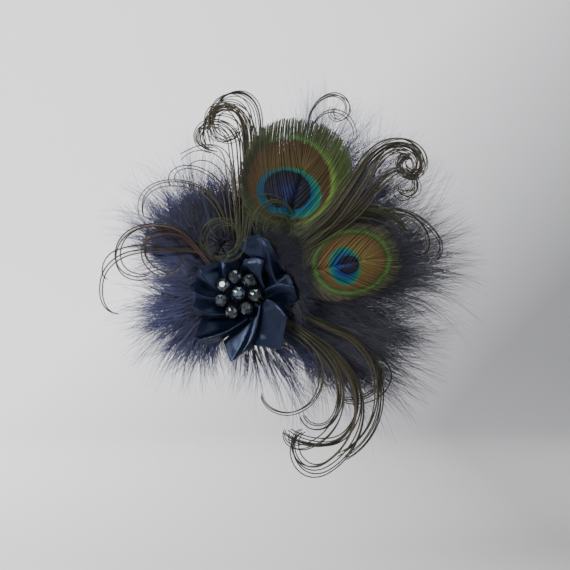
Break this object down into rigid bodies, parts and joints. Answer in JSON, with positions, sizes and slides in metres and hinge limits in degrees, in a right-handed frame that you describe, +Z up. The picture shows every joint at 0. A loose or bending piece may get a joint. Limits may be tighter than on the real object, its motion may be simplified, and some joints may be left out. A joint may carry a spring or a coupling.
{
  "type": "feather fascinator",
  "caption": "Head ornament: a gathered satin flower with faceted beads on a felt base with a comb, fanned with peacock eye feathers, curled herl and marabou plumes.",
  "frame": {"origin": "middle of the felt base's back face, where the fascinator sits against the side of the head", "axes": "+Z up as worn, -Y out of the show side, +Y into the wearer's head, +X to the right as seen from the show side"},
  "size_m": [0.1884, 0.0473, 0.1875],
  "materials": {
    "felt": "matte wool felt",
    "comb": "gloss",
    "marabou": "downy",
    "peacock_eye": "iridescent",
    "herl": "bronze iridescent",
    "copper_herl": "copper sheen",
    "satin": "satin",
    "bead": "faceted gloss"
  },
  "bodies": {
    "root": {"felt_base": "felt", "hair_comb": "comb", "plume_upper_left": "marabou", "plume_left": "marabou", "plume_lower": "marabou", "plume_lower_right": "marabou", "plume_right": "marabou", "plume_upper_right": "marabou", "plume_top": "marabou", "peacock_eye_large": "peacock_eye", "peacock_eye_small": "peacock_eye", "herl_crest": "herl", "herl_brow_high": "herl", "herl_brow_middle": "herl", "herl_brow_low": "herl", "herl_coil": "herl", "herl_scroll": "herl", "herl_cheek": "herl", "herl_fall_outer": "herl", "herl_fall_long": "herl", "herl_fall_inner": "herl", "herl_fall_curl": "herl", "herl_copper": "copper_herl", "flower_heart": "satin", "petal_1": "satin", "petal_2": "satin", "petal_3": "satin", "petal_4": "satin", "petal_5": "satin", "petal_6": "satin", "petal_7": "satin", "petal_8": "satin", "petal_9": "satin", "petal_10": "satin", "bead_1": "bead", "bead_2": "bead", "bead_3": "bead", "bead_4": "bead", "bead_5": "bead", "bead_6": "bead", "bead_7": "bead", "bead_8": "bead"}
  },
  "joints": []
}
